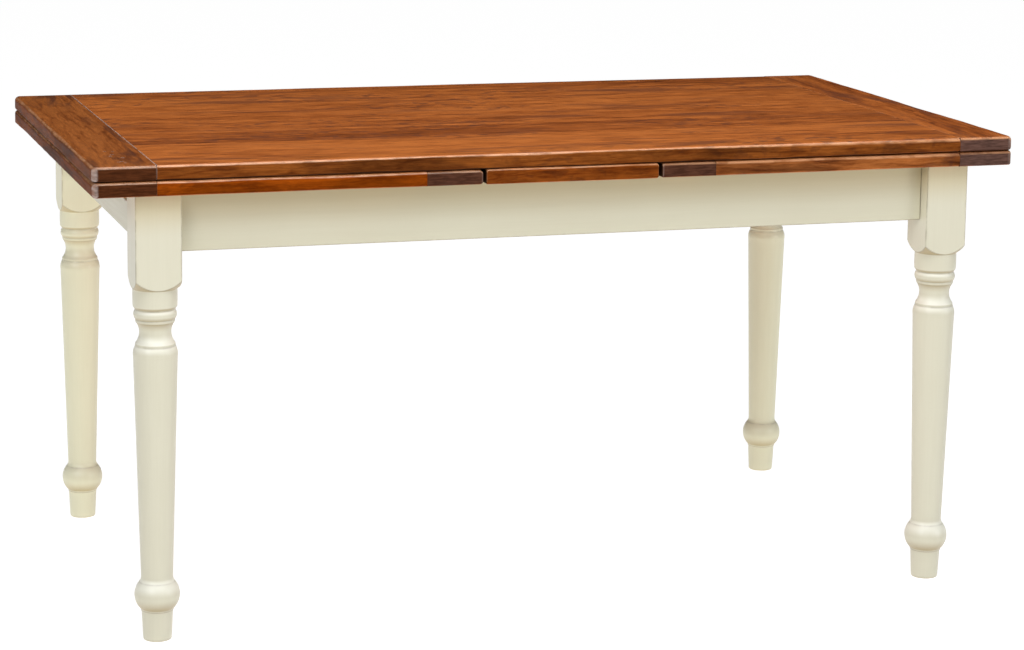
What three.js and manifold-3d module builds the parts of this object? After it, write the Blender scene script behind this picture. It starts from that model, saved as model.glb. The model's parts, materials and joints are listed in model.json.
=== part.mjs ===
// An extending dining table of the draw-leaf kind, in millimetres, +Z up.
// The loose top lies on a fixed centre board and on two leaves, which slide out from under it on long
// bearers. The painted frame has four turned legs, bolted to corner blocks inside the aprons.
// The origin is on the floor under the middle of the table; +X runs along its length.
import * as THREE from "three";
import { mergeVertices } from "three/addons/utils/BufferGeometryUtils.js";
import Module from "manifold-3d";

const wasm = await Module();
wasm.setup();

// ---- Driving dimensions ----

const LENGTH = 1600; // of the top, with both leaves in
const WIDTH = 900;
const HEIGHT = 800; // floor to the top's surface

const FIT = 0.3; // gap left between two pieces that touch
const GLIDE = 0.8; // gap above and below a leaf, so that it slides freely

const BOARD = 25; // thickness of the top and the leaves
const BOARD_CORNER = 8; // radius of a board's corners, seen from above
const BOARD_EASING = 3; // rounding of a board's edges
const BREADBOARD = 100; // width of the cross board at each outer end
const INNER_BREADBOARD = 97; // width of the cross board at a leaf's inner end
const TONGUE = { length: 18, thickness: 8, shoulder: 40 }; // joins a panel to its cross boards

const CENTRE_BOARD = 304; // length of the fixed board between the leaves
const LEAF_GAP = 4; // between the centre board and a leaf's inner end

const END_OVERHANG = 68; // from the leg's outer face to the top's end
const SIDE_OVERHANG = 23;
const LEG_BLOCK = 76; // side of a leg's square part
const APRON = { height: 98, thickness: 22, recess: 25 };
const RAIL = { height: 80, thickness: 22, x: 110, housing: 6 }; // the cross rails carry the centre board

const BEARER = { width: 28, height: 45, outerEnd: 704, heldLength: 60, relief: 1.2 };
const BEARER_Y = { left: 190, right: 240 }; // the two leaves' bearers pass beside each other
const NOTCH = { sidePlay: 1, floorPlay: 0.4 };
const STOP = { height: 15, gap: 0.5, headroom: 1 };

const CORNER_BLOCK = { bottom: 668, top: 738, thickness: 30, legChamfer: 14 };
const PEG = { radius: 12.5, hole: 13.5, y: 330, socket: 12, below: 62, tip: 3 };

const BOLT = { z: 703, radius: 4, hole: 4.5, intoLeg: 40, spare: 18 };
const WASHER = { radius: 11, thickness: 2 };
const NUT = { radius: 7.5, height: 7 };
const SCREW = { head: 5.5, shank: 2.5, headHeight: 3.2, pilot: 2.8, recess: 6.2, length: 40 };
const LEAF_SCREW = { xs: [330, 620], depth: 22 }; // depth of the head's recess in the bearer
const CENTRE_SCREW_Y = 300;

// The turned part of a leg, from the floor up, as [radius, z] points.
const TURNING = {
  footEdge: [22, 0],
  footLow: [24, 5],
  footTop: [26.3, 46],
  ringBottom: [27.3, 46.5],
  ringTop: [27.3, 50],
  ballBottom: [28.5, 50.5],
  ballTop: [31, 95.5],
  collarBottom: [30.4, 97],
  collarTop: [26.7, 106],
  shaftTop: [37.2, 476],
  shoulderTop: [34.4, 494],
  lipBottom: [33.8, 496.5],
  coveBottom: [33.4, 503],
  coveTop: [33, 534],
  filletTop: [33, 538.5],
  beadBottom: [34.6, 539.5],
  beadTop: [34.6, 554.5],
  grooveTop: [35.2, 559],
  neckBottom: [37.6, 564],
  neckTop: [37.6, 590],
  blockCorner: [54.5, 608], // where the turning runs out through the block's corners
};
// How far each curved stretch stands proud of the straight line between its ends.
const BULGE = { ball: 8.5, collar: -1, shoulder: 1.6, cove: -6, bead: 2.2, blockCorner: 1.4 };

const LEG_SIDES = 20;
const PEG_SIDES = 16;
const ROD_SIDES = 10;

// ---- Derived heights and places ----

const TOP_UNDERSIDE = HEIGHT - BOARD;
const LEAF_UNDERSIDE = TOP_UNDERSIDE - GLIDE - BOARD;
const FRAME_TOP = LEAF_UNDERSIDE - GLIDE;
const CENTRE_UNDERSIDE = FRAME_TOP + FIT;
const CENTRE_THICKNESS = TOP_UNDERSIDE - FIT - CENTRE_UNDERSIDE; // the top bears on this board
const LEAF_INNER_END = CENTRE_BOARD / 2 + LEAF_GAP;
const TRAVEL = LENGTH / 2 - LEAF_INNER_END; // a leaf is out when its inner end reaches the top's end

const LEG_X = LENGTH / 2 - END_OVERHANG - LEG_BLOCK / 2;
const LEG_Y = WIDTH / 2 - SIDE_OVERHANG - LEG_BLOCK / 2;
const APRON_OUTER = LEG_BLOCK / 2 - APRON.recess; // from the leg's middle, as the next line
const APRON_INNER = APRON_OUTER - APRON.thickness;
const END_APRON_INNER = LEG_X + APRON_INNER;
const SIDE_APRON_INNER = LEG_Y + APRON_INNER;

const BEARER_REACH = TRAVEL - BEARER.heldLength; // how far past the middle a bearer lies, leaf in
const STOP_FACE = TRAVEL - RAIL.x + RAIL.thickness / 2 + STOP.gap;

// ---- Finishes ----

const FINISHES = {
  stained_wood: { color: 0xa5602f, roughness: 0.42, metalness: 0 },
  dark_wood: { color: 0x6b4128, roughness: 0.45, metalness: 0 },
  cream_paint: { color: 0xe6e1c8, roughness: 0.55, metalness: 0 },
  plain_wood: { color: 0xc8a477, roughness: 0.7, metalness: 0 },
  zinc_steel: { color: 0xa9aaa6, roughness: 0.35, metalness: 0.9 },
};

// ---- Geometry helpers ----

function toSolid(geometry) {
  const bare = new THREE.BufferGeometry();
  bare.setAttribute("position", geometry.getAttribute("position"));
  bare.setIndex(geometry.index);
  const merged = mergeVertices(bare, 1e-4);
  const mesh = new wasm.Mesh({
    numProp: 3,
    vertProperties: merged.getAttribute("position").array,
    triVerts: new Uint32Array(merged.index.array),
  });
  return new wasm.Manifold(mesh);
}

function toGeometry(solid) {
  const mesh = solid.getMesh();
  const geometry = new THREE.BufferGeometry();
  geometry.setAttribute("position", new THREE.BufferAttribute(mesh.vertProperties, 3));
  geometry.setIndex(new THREE.BufferAttribute(mesh.triVerts, 1));
  return geometry;
}

function cut(geometry, ...tools) {
  return toGeometry(tools.reduce((solid, tool) => solid.subtract(toSolid(tool)), toSolid(geometry)));
}

function join(geometry, ...others) {
  return toGeometry(others.reduce((solid, other) => solid.add(toSolid(other)), toSolid(geometry)));
}

function common(a, b) {
  return toGeometry(toSolid(a).intersect(toSolid(b)));
}

// A box between two limits on each axis, given in either order.
function box([xa, xb], [ya, yb], [za, zb]) {
  const size = [Math.abs(xb - xa), Math.abs(yb - ya), Math.abs(zb - za)];
  return new THREE.BoxGeometry(...size).translate((xa + xb) / 2, (ya + yb) / 2, (za + zb) / 2);
}

// A full-width board with rounded corners and eased edges, standing on z = 0.
function easedBoard([left, right], thickness) {
  const xs = [left + BOARD_CORNER, right - BOARD_CORNER];
  const y = WIDTH / 2 - BOARD_CORNER;
  const radius = BOARD_CORNER - BOARD_EASING;
  const outline = new THREE.Shape();
  outline.absarc(xs[1], y, radius, 0, Math.PI / 2);
  outline.absarc(xs[0], y, radius, Math.PI / 2, Math.PI);
  outline.absarc(xs[0], -y, radius, Math.PI, 1.5 * Math.PI);
  outline.absarc(xs[1], -y, radius, 1.5 * Math.PI, 2 * Math.PI);
  const board = new THREE.ExtrudeGeometry(outline, {
    depth: thickness - 2 * BOARD_EASING,
    bevelThickness: BOARD_EASING,
    bevelSize: BOARD_EASING,
    bevelSegments: 2,
    curveSegments: 3,
  });
  return board.translate(0, 0, BOARD_EASING);
}

// A flat outline of [x, y] points, extruded up between two heights.
function prism(points, [bottom, top]) {
  const outline = new THREE.Shape(points.map(([x, y]) => new THREE.Vector2(x, y)));
  const solid = new THREE.ExtrudeGeometry(outline, { depth: top - bottom, bevelEnabled: false });
  return solid.translate(0, 0, bottom);
}

// A piece turned about the Z axis, from [radius, z] points that start and end on the axis, going up.
function turned(points, sides) {
  const profile = points.map(([radius, z]) => new THREE.Vector2(radius, z));
  return new THREE.LatheGeometry(profile, sides).rotateX(Math.PI / 2);
}

function rod(radius, bottom, top, sides = ROD_SIDES) {
  return turned([[0, bottom], [radius, bottom], [radius, top], [0, top]], sides);
}

// Points of a circular arc between two [radius, z] points, going up a profile. It stands proud of the
// straight line between them by the bulge; a negative bulge hollows it.
function arc(from, to, bulge, steps) {
  const [dr, dz] = [to[0] - from[0], to[1] - from[1]];
  const chord = Math.hypot(dr, dz);
  const half = 2 * Math.atan((2 * Math.abs(bulge)) / chord);
  const points = [];
  for (let i = 0; i <= steps; i += 1) {
    const angle = half * ((2 * i) / steps - 1);
    const along = 0.5 + Math.sin(angle) / Math.sin(half) / 2;
    const proud = (Math.sign(bulge) * (Math.cos(angle) - Math.cos(half))) / Math.sin(half) / 2;
    points.push([from[0] + dr * along + dz * proud, from[1] + dz * along - dr * proud]);
  }
  return points;
}

// ---- The object ----

const SIDES = { left: -1, right: 1 }; // signs of X
const FACES = { front: -1, back: 1 }; // signs of Y

const table = new THREE.Group();

// Adds a group turned about Z, in which a stretch of the table is built.
function section(x, y, z, turn) {
  const group = new THREE.Group();
  group.position.set(x, y, z);
  group.rotation.z = turn;
  table.add(group);
  return group;
}

// A section at a height whose own +X points outwards at the table's left or right end.
function endSection(side, z) {
  return section(0, 0, z, side === "left" ? Math.PI : 0);
}

// The sign of a front or back place's Y in such a section, which is turned round at the left.
function localY(side, face) {
  return SIDES[side] * FACES[face];
}

function add(group, name, finish, geometry, x = 0, y = 0, z = 0) {
  const mesh = new THREE.Mesh(geometry, new THREE.MeshStandardMaterial(FINISHES[finish]));
  mesh.name = name;
  mesh.position.set(x, y, z);
  group.add(mesh);
  return mesh;
}

// ---- Top and leaves ----

// Saws a board across into a panel and the cross boards at its ends, and adds them. The panel's
// tongues run into the cross boards, and stop short of the edges. Each cross board has a name, the X
// of its seam and the X of its end.
function addClampedBoard(group, board, panelName, crossBoards, panelHoles) {
  const everyY = [-WIDTH, WIDTH];
  const everyZ = [-1, BOARD + 1];
  const tongue = ({ seam, end }, spare) => {
    const way = Math.sign(end - seam);
    const halfWidth = WIDTH / 2 - TONGUE.shoulder + spare;
    const halfThick = TONGUE.thickness / 2 + spare;
    const xs = [seam - way, seam + way * (TONGUE.length + spare)];
    return box(xs, [-halfWidth, halfWidth], [BOARD / 2 - halfThick, BOARD / 2 + halfThick]);
  };
  for (const cross of crossBoards) {
    const way = Math.sign(cross.end - cross.seam);
    const reach = box([cross.seam + way * FIT, cross.end + way], everyY, everyZ);
    add(group, cross.name, "dark_wood", cut(common(board, reach), tongue(cross, FIT)));
  }
  const seams = crossBoards.map((cross) => cross.seam);
  const tongues = crossBoards.map((cross) => tongue(cross, 0));
  const panel = join(common(board, box(seams, everyY, everyZ)), ...tongues);
  add(group, panelName, "stained_wood", cut(panel, ...panelHoles));
}

// The loose top, with two pegs under it that drop through holes in the centre board. Here z = 0 is
// the top's underside.
function makeTop() {
  const top = section(0, 0, TOP_UNDERSIDE, 0);
  const end = LENGTH / 2;
  const crossBoards = Object.entries(SIDES).map(([side, sx]) => ({
    name: `top_breadboard_${side}`,
    seam: sx * (end - BREADBOARD),
    end: sx * end,
  }));
  const sockets = Object.values(FACES).map((sy) =>
    rod(PEG.radius + FIT, -1, PEG.socket + FIT, PEG_SIDES).translate(0, sy * PEG.y, 0),
  );
  addClampedBoard(top, easedBoard([-end, end], BOARD), "top_panel", crossBoards, sockets);
  const peg = turned(
    [
      [0, -PEG.below],
      [PEG.radius - PEG.tip, -PEG.below],
      [PEG.radius, -PEG.below + PEG.tip],
      [PEG.radius, PEG.socket],
      [0, PEG.socket],
    ],
    PEG_SIDES,
  );
  for (const [face, sy] of Object.entries(FACES)) {
    add(top, `guide_peg_${face}`, "plain_wood", peg, 0, sy * PEG.y);
  }
}

// A countersunk wood screw that points up from its head's flat side.
function screw() {
  const profile = [
    [0, 0],
    [SCREW.head, 0],
    [SCREW.shank, SCREW.headHeight],
    [SCREW.shank, SCREW.length - 2 * SCREW.shank],
    [0, SCREW.length],
  ];
  return turned(profile, ROD_SIDES);
}

// A leaf on its two bearers. Here z = 0 is the leaf's underside and +X points outwards.
function makeLeaf(side) {
  const leaf = endSection(side, LEAF_UNDERSIDE);
  const end = LENGTH / 2;
  const bottom = -FIT - BEARER.height;
  const headZ = bottom + LEAF_SCREW.depth;

  const bar = box([-BEARER_REACH, BEARER.outerEnd], [-BEARER.width / 2, BEARER.width / 2], [bottom, -FIT]);
  // It is planed a little lower where it passes under the centre board.
  const planed = box(
    [-BEARER_REACH - 1, LEAF_INNER_END],
    [-BEARER.width, BEARER.width],
    [-FIT - BEARER.relief, 1],
  );
  const screwHoles = LEAF_SCREW.xs.flatMap((x) => [
    rod(SCREW.pilot, bottom, 0).translate(x, 0, 0),
    rod(SCREW.recess, bottom - 1, headZ + SCREW.headHeight + FIT).translate(x, 0, 0),
  ]);
  const bearer = cut(bar, planed, ...screwHoles);
  // The stop under its inner end meets the cross rail on its own side when the leaf is right out.
  const stopTop = bottom - FIT;
  const stop = box(
    [-BEARER_REACH, -STOP_FACE],
    [-BEARER.width / 2, BEARER.width / 2],
    [stopTop - STOP.height, stopTop],
  );

  const pilots = [];
  for (const face of Object.keys(FACES)) {
    const y = localY(side, face) * BEARER_Y[side];
    add(leaf, `${side}_leaf_bearer_${face}`, "plain_wood", bearer, 0, y);
    add(leaf, `${side}_leaf_stop_${face}`, "plain_wood", stop, 0, y);
    LEAF_SCREW.xs.forEach((x, i) => {
      add(leaf, `${side}_leaf_screw_${face}_${i + 1}`, "zinc_steel", screw(), x, y, headZ);
      pilots.push(rod(SCREW.pilot, -1, headZ + SCREW.length + FIT).translate(x, y, 0));
    });
  }
  const crossBoards = [
    { name: `${side}_leaf_outer_breadboard`, seam: end - BREADBOARD, end },
    { name: `${side}_leaf_inner_breadboard`, seam: LEAF_INNER_END + INNER_BREADBOARD, end: LEAF_INNER_END },
  ];
  const board = easedBoard([LEAF_INNER_END, end], BOARD);
  addClampedBoard(leaf, board, `${side}_leaf_panel`, crossBoards, pilots);
}

// ---- Legs and corner joints ----

function legProfile() {
  const t = TURNING;
  return [
    [0, 0],
    t.footEdge,
    t.footLow,
    t.footTop,
    t.ringBottom,
    t.ringTop,
    ...arc(t.ballBottom, t.ballTop, BULGE.ball, 7),
    ...arc(t.collarBottom, t.collarTop, BULGE.collar, 2),
    ...arc(t.shaftTop, t.shoulderTop, BULGE.shoulder, 2),
    t.lipBottom,
    ...arc(t.coveBottom, t.coveTop, BULGE.cove, 5),
    t.filletTop,
    ...arc(t.beadBottom, t.beadTop, BULGE.bead, 3),
    t.grooveTop,
    t.neckBottom,
    ...arc(t.neckTop, t.blockCorner, BULGE.blockCorner, 2),
    [LEG_BLOCK, t.blockCorner[1]],
    [LEG_BLOCK, FRAME_TOP],
    [0, FRAME_TOP],
  ];
}

// In a corner's section the leg stands at the origin, and +X and +Y both point outwards, so everything
// is symmetrical about the diagonal x = y. The leg's bolt lies on that diagonal. A place along it is
// given by x + y, which is the same all over a face that lies square to it.
const CHAMFER_SUM = CORNER_BLOCK.legChamfer - LEG_BLOCK;
const BLOCK_OUTER_SUM = CHAMFER_SUM - FIT * Math.SQRT2;
const BLOCK_INNER_SUM = BLOCK_OUTER_SUM - CORNER_BLOCK.thickness * Math.SQRT2;

// Lays a piece made along +Z on the diagonal, pointing outwards, with its z = 0 at a given sum.
function onDiagonal(geometry, sum) {
  return geometry.rotateY(Math.PI / 2).rotateZ(Math.PI / 4).translate(sum / 2, sum / 2, BOLT.z);
}

function legGeometry() {
  const half = LEG_BLOCK / 2;
  const square = box([-half, half], [-half, half], [-1, FRAME_TOP + 1]);
  const outside = -half - 1;
  const chamfer = prism(
    [
      [outside, outside],
      [CHAMFER_SUM - outside, outside],
      [outside, CHAMFER_SUM - outside],
    ],
    [CORNER_BLOCK.bottom - 2, FRAME_TOP + 1],
  );
  const hole = onDiagonal(rod(BOLT.hole, -BOLT.hole, BOLT.intoLeg + FIT), CHAMFER_SUM);
  return cut(common(turned(legProfile(), LEG_SIDES), square), chamfer, hole);
}

// The block across the corner between two aprons, which the hanger bolt pulls the leg against.
function cornerBlockGeometry() {
  const face = APRON_INNER - FIT;
  const block = prism(
    [
      [BLOCK_INNER_SUM - face, face],
      [BLOCK_OUTER_SUM - face, face],
      [face, BLOCK_OUTER_SUM - face],
      [face, BLOCK_INNER_SUM - face],
    ],
    [CORNER_BLOCK.bottom, CORNER_BLOCK.top],
  );
  return cut(block, onDiagonal(rod(BOLT.hole, -1, CORNER_BLOCK.thickness + 1), BLOCK_INNER_SUM));
}

function hangerBoltGeometry() {
  const washerInside = -FIT - WASHER.thickness;
  const legEnd = CORNER_BLOCK.thickness + FIT + BOLT.intoLeg;
  const washer = rod(WASHER.radius, washerInside, -FIT, PEG_SIDES);
  const nut = rod(NUT.radius, washerInside - NUT.height, washerInside / 2, 6);
  return onDiagonal(join(rod(BOLT.radius, -BOLT.spare, legEnd), washer, nut), BLOCK_INNER_SUM);
}

function makeCorners() {
  const leg = legGeometry();
  const cornerBlock = cornerBlockGeometry();
  const hangerBolt = hangerBoltGeometry();
  for (const [face, sy] of Object.entries(FACES)) {
    for (const [side, sx] of Object.entries(SIDES)) {
      const turn = Math.atan2(sy, sx) - Math.PI / 4;
      const corner = section(sx * LEG_X, sy * LEG_Y, 0, turn);
      add(corner, `leg_${face}_${side}`, "cream_paint", leg);
      add(corner, `corner_block_${face}_${side}`, "plain_wood", cornerBlock);
      add(corner, `hanger_bolt_${face}_${side}`, "zinc_steel", hangerBolt);
    }
  }
}

// ---- Aprons, cross rails and centre board ----
// In these sections z = 0 is the frame's top.

const BEARER_BOTTOM = GLIDE - FIT - BEARER.height;
const SLOT_FLOOR = BEARER_BOTTOM - NOTCH.floorPlay;
const DEEP_SLOT_FLOOR = BEARER_BOTTOM - FIT - STOP.height - STOP.headroom;

// The slots that two bearers slide in, down from the frame's top.
function bearerSlots(xs, y, floor) {
  const half = BEARER.width / 2 + NOTCH.sidePlay;
  return [-y, y].map((middle) => box(xs, [middle - half, middle + half], [floor, 1]));
}

// The long aprons house the ends of the cross rails.
function makeSideAprons() {
  const end = LEG_X - LEG_BLOCK / 2 - FIT;
  const outer = SIDE_APRON_INNER + APRON.thickness;
  const apron = box([-end, end], [SIDE_APRON_INNER, outer], [-APRON.height, 0]);
  const half = RAIL.thickness / 2 + FIT;
  const depth = [SIDE_APRON_INNER - 1, SIDE_APRON_INNER + RAIL.housing];
  const housings = [-RAIL.x, RAIL.x].map((x) => box([x - half, x + half], depth, [-RAIL.height - FIT, 1]));
  const housed = cut(apron, ...housings);
  for (const [face, sy] of Object.entries(FACES)) {
    add(section(0, 0, FRAME_TOP, sy < 0 ? Math.PI : 0), `apron_${face}`, "cream_paint", housed);
  }
}

// The short apron and the cross rail on one side. The rail's shallow slots hold its own leaf's
// bearers, and its deep slots let the other leaf's stops go by.
function makeEndRails(side) {
  const group = endSection(side, FRAME_TOP);
  const other = side === "left" ? "right" : "left";

  const apronEnd = LEG_Y - LEG_BLOCK / 2 - FIT;
  const apronOuter = END_APRON_INNER + APRON.thickness;
  const apron = box([END_APRON_INNER, apronOuter], [-apronEnd, apronEnd], [-APRON.height, 0]);
  const throughApron = [END_APRON_INNER - 1, apronOuter + 1];
  const slottedApron = cut(apron, ...bearerSlots(throughApron, BEARER_Y[side], SLOT_FLOOR));
  add(group, `apron_${side}`, "cream_paint", slottedApron);

  const railEnd = SIDE_APRON_INNER + RAIL.housing - FIT;
  const half = RAIL.thickness / 2;
  const rail = box([RAIL.x - half, RAIL.x + half], [-railEnd, railEnd], [-RAIL.height, 0]);
  const throughRail = [RAIL.x - half - 1, RAIL.x + half + 1];
  const cuts = [
    ...bearerSlots(throughRail, BEARER_Y[side], SLOT_FLOOR),
    ...bearerSlots(throughRail, BEARER_Y[other], DEEP_SLOT_FLOOR),
    ...[-CENTRE_SCREW_Y, CENTRE_SCREW_Y].map((y) =>
      rod(SCREW.pilot, CENTRE_THICKNESS - SCREW.length - 1, 1).translate(RAIL.x, y, 0),
    ),
  ];
  add(group, `cross_rail_${side}`, "plain_wood", cut(rail, ...cuts));
}

// The fixed board between the leaves, screwed down to the cross rails. Its screw heads lie just below
// its surface. Here z = 0 is its underside.
function makeCentreBoard() {
  const group = section(0, 0, CENTRE_UNDERSIDE, 0);
  const headZ = CENTRE_THICKNESS - FIT;
  const holes = [-PEG.y, PEG.y].map((y) =>
    rod(PEG.hole, -1, CENTRE_THICKNESS + 1, PEG_SIDES).translate(0, y, 0),
  );
  for (const [face, sy] of Object.entries(FACES)) {
    for (const [side, sx] of Object.entries(SIDES)) {
      const [x, y] = [sx * RAIL.x, sy * CENTRE_SCREW_Y];
      const name = `centre_screw_${face}_${side}`;
      add(group, name, "zinc_steel", screw(), x, y, headZ).rotation.x = Math.PI;
      const recess = rod(SCREW.recess, headZ - SCREW.headHeight - FIT, CENTRE_THICKNESS + 1);
      holes.push(recess.translate(x, y, 0));
      holes.push(rod(SCREW.pilot, -1, CENTRE_THICKNESS).translate(x, y, 0));
    }
  }
  const board = easedBoard([-CENTRE_BOARD / 2, CENTRE_BOARD / 2], CENTRE_THICKNESS);
  add(group, "centre_board", "stained_wood", cut(board, ...holes));
}

makeCorners();
makeSideAprons();
makeEndRails("left");
makeEndRails("right");
makeCentreBoard();
makeLeaf("left");
makeLeaf("right");
makeTop();

export default table;
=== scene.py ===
"""The finished look of an extending dining table with painted legs and a waxed wood top.

Every piece stands where its CAD node stands, in metres. The boards are lofted with hand-worked edges,
the legs are turned from a profile, and the rest are bevelled copies of the CAD solids.
"""

import json
import math
import random

import bmesh
import bpy
from mathutils import Matrix, Vector, noise


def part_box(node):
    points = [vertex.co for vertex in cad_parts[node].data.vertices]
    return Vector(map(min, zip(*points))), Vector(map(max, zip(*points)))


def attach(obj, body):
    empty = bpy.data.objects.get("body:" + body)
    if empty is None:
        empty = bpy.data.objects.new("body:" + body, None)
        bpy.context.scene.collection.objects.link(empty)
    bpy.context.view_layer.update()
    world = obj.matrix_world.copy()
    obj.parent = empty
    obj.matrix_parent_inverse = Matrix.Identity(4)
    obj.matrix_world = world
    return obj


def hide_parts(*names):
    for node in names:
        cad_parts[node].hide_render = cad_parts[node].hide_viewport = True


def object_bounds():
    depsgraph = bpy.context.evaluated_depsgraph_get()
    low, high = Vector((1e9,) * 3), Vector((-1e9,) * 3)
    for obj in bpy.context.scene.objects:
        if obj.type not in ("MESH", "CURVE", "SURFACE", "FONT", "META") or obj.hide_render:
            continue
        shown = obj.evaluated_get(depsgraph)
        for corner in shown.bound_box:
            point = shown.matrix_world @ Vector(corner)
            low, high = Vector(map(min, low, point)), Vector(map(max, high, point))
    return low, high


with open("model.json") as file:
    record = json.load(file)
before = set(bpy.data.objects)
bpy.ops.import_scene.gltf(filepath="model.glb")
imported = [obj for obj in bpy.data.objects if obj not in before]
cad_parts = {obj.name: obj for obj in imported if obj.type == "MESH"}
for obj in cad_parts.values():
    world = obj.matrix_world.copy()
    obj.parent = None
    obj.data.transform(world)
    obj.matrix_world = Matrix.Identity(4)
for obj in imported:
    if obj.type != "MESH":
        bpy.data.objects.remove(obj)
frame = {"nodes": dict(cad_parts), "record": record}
CAD_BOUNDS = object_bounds()

MM = 0.001
SIDES = {"left": -1, "right": 1}
FACES = {"front": -1, "back": 1}

# ---- Shapes ----

# Radii of the boards' rounded edges, of their corners in plan, and of the edges at a seam.
EDGE = {
    "breadboard": 7.5 * MM,
    "panel": 6.0 * MM,
    "underside": 4.6 * MM,
    "plan": 12.0 * MM,
    "inner": 4.0 * MM,
    "seam": 0.5 * MM,
}
LEAF_EDGE = {"breadboard": 7.0 * MM, "panel": 6.6 * MM}
# How an edge wavers in and out: the depths and rates of its long and short waves, and how far in from
# the edge they are felt.
WAVE = {"long": 2.2 * MM, "short": 1.0 * MM, "long_rate": 4.5, "short_rate": 19.0, "reach": 45 * MM}
# A rounded edge's radius changes along it: a least share, and (share, rate) of two ripples on top.
SOFTNESS = {"least": 0.40, "ripples": ((0.95, 6), (0.25, 23))}
END_SWELL = {-1: 5.5 * MM, 1: 8.5 * MM}  # how far the hand-worked outer ends swell past their plain shape
INNER_SWELL = 1.4 * MM  # the same for the ends that meet at the centre board
SEAM_SHIFT = 5.5 * MM  # how far the right end's cross boards are narrowed at their seam
ROUNDER = {"gain": 0.85, "reach": 0.62, "most": 2.0}  # long edges are rounder towards the right end
PANEL_GAP = 0.3 * MM  # between a panel and its cross boards
SURFACE_DIP = 0.35 * MM  # how far the hand-planed faces dip
STATION = 9 * MM  # spacing of a board's cross sections
COLUMN = 22 * MM  # spacing of the points across a board's faces
ROW = 6 * MM  # spacing of the points up a board's edges
ARC_STEPS = 6
CAP_RINGS = (0.92, 0.5)
# How far the edges of each kind of piece are eased.
BEVEL = {"painted": 1.6 * MM, "plain": 1.2 * MM, "peg": 0.5 * MM, "bolt": 0.4 * MM, "screw": 0.3 * MM}

# A leg's turned profile from the floor up, as (radius, height, bulge) in millimetres. The bulge is how
# far the stretch up to the next point stands proud of a straight line.
LEG_PROFILE = [
    (22.6, 0.0, 0),
    (23.6, 1.5, 0),
    (26.0, 49.5, 0),
    (27.2, 50.0, 0),
    (27.2, 53.0, 0),
    (28.3, 53.5, 8.3),
    (30.0, 97.5, 0),
    (29.4, 98.5, -1.0),
    (26.4, 108.0, 0),
    (36.4, 477.0, 1.3),
    (34.2, 493.0, 0),
    (33.0, 495.5, 0),
    (33.0, 499.0, 0),
    (32.6, 500.0, -5.6),
    (31.2, 534.0, 0),
    (32.2, 535.0, 0),
    (32.6, 538.5, 0),
    (32.2, 539.5, 2.9),
    (33.0, 555.0, 0),
    (33.2, 557.0, 0),
    (36.3, 560.5, 0.3),
    (36.5, 590.0, 1.4),
    (54.5, 608.0, 0),
    (60.0, 609.0, 0),
]
# Heights where the glaze gathers in a leg's grooves, and how much of it there is.
GROOVES = {51.0: 0.6, 98.3: 0.45, 495.6: 0.8, 534.6: 0.3, 539.2: 0.6, 556.4: 0.9}
BLOCK_FROM = 590.0
LEG_CHAMFER = {"sum": 62.0, "bottom": 666.0}  # across the inner corner, for the corner block
LEG_ARRIS = 1.6
BLOCK_EDGE_FROM = 606.0  # above here the square block's corners are sharp enough to hold glaze
# How strong the glaze is in the turned grooves, at the block's corners and at its arched lower ends, and
# how far it spreads, in millimetres or, at the corners, degrees.
GLAZE_AT = {"groove": (0.7, 1.1), "corner": (0.75, 1.3), "arch": (0.6, 1.2)}

# The studio's faint grey glow along a direction's axis: from a low to a high place on it, and its strength
# at each.
WORLD_GLOW = [("Z", 0.1, 0.75, 0.015, 0.5), ("Y", -0.8, 0.0, 0.48, 0.0)]
FLOOR = {"half": 40.0, "grey": (0.30, 0.30, 0.30), "glow": 0.98}
# Soft lights, as (name, place, aim, width and height, watts).
LIGHTS = [
    ("key", (-0.3, -2.0, 3.4), (0, 0, 0.6), (2.6, 1.6), 60),
    ("overhead", (0.1, -0.2, 3.0), (0.1, -0.1, 0), (3.0, 1.6), 36),
    ("front_left", (-4.0, -3.8, 3.0), (0, 0, 0.4), (2.5, 1.6), 85),
    ("front_right", (4.8, -4.4, 1.2), (0, 0.2, 0.35), (2.2, 1.2), 63),
]
# The photograph is part of a wider picture, so the lens is shifted. Angles are in radians.
CAMERA = {
    "place": (-1.532, -4.992, 1.5145),
    "yaw": 0.3018,
    "pitch": -0.1612,
    "roll": 0.0121,
    "lens": 102.58,
    "shift": (0.0055, -0.1329),
}


def body_of(node):
    return next(b for b, members in frame["record"]["behaviour"]["bodies"].items() if node in members)


def show(piece, node, material):
    """Puts a finished piece in the place of its CAD node."""
    piece.data.materials.clear()
    piece.data.materials.append(material)
    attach(piece, body_of(node))
    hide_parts(node)
    return piece


# ---- Mesh helpers ----


def mesh_object(name, vertices, faces, smooth_angle=40):
    mesh = bpy.data.meshes.new(name)
    mesh.from_pydata(vertices, [], faces)
    mesh.validate()
    mesh.shade_smooth()
    mesh.set_sharp_from_angle(angle=math.radians(smooth_angle))
    piece = bpy.data.objects.new(name, mesh)
    bpy.context.scene.collection.objects.link(piece)
    return piece


def ring_faces(rings, count):
    """Faces of a closed tube through rings of points, wound to face out when the rings turn
    anticlockwise as seen from the last ring, with a flat face at each end."""
    faces = []
    for i in range(rings - 1):
        for j in range(count):
            k = (j + 1) % count
            faces.append((i * count + j, i * count + k, (i + 1) * count + k, (i + 1) * count + j))
    faces.append(tuple(reversed(range(count))))
    last = (rings - 1) * count
    faces.append(tuple(range(last, last + count)))
    return faces


def fade(distance, reach):
    """Falls smoothly from 1 at a distance of 0 to 0 at the reach."""
    t = max(0.0, 1 - distance / reach)
    return t * t * (3 - 2 * t)


def ripple(rate, place, seed):
    """A smooth random number from 0 to 1 along a line."""
    return 0.5 + 0.5 * noise.noise(Vector((place * rate, seed * 7.31, seed * 1.7)))


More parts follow.
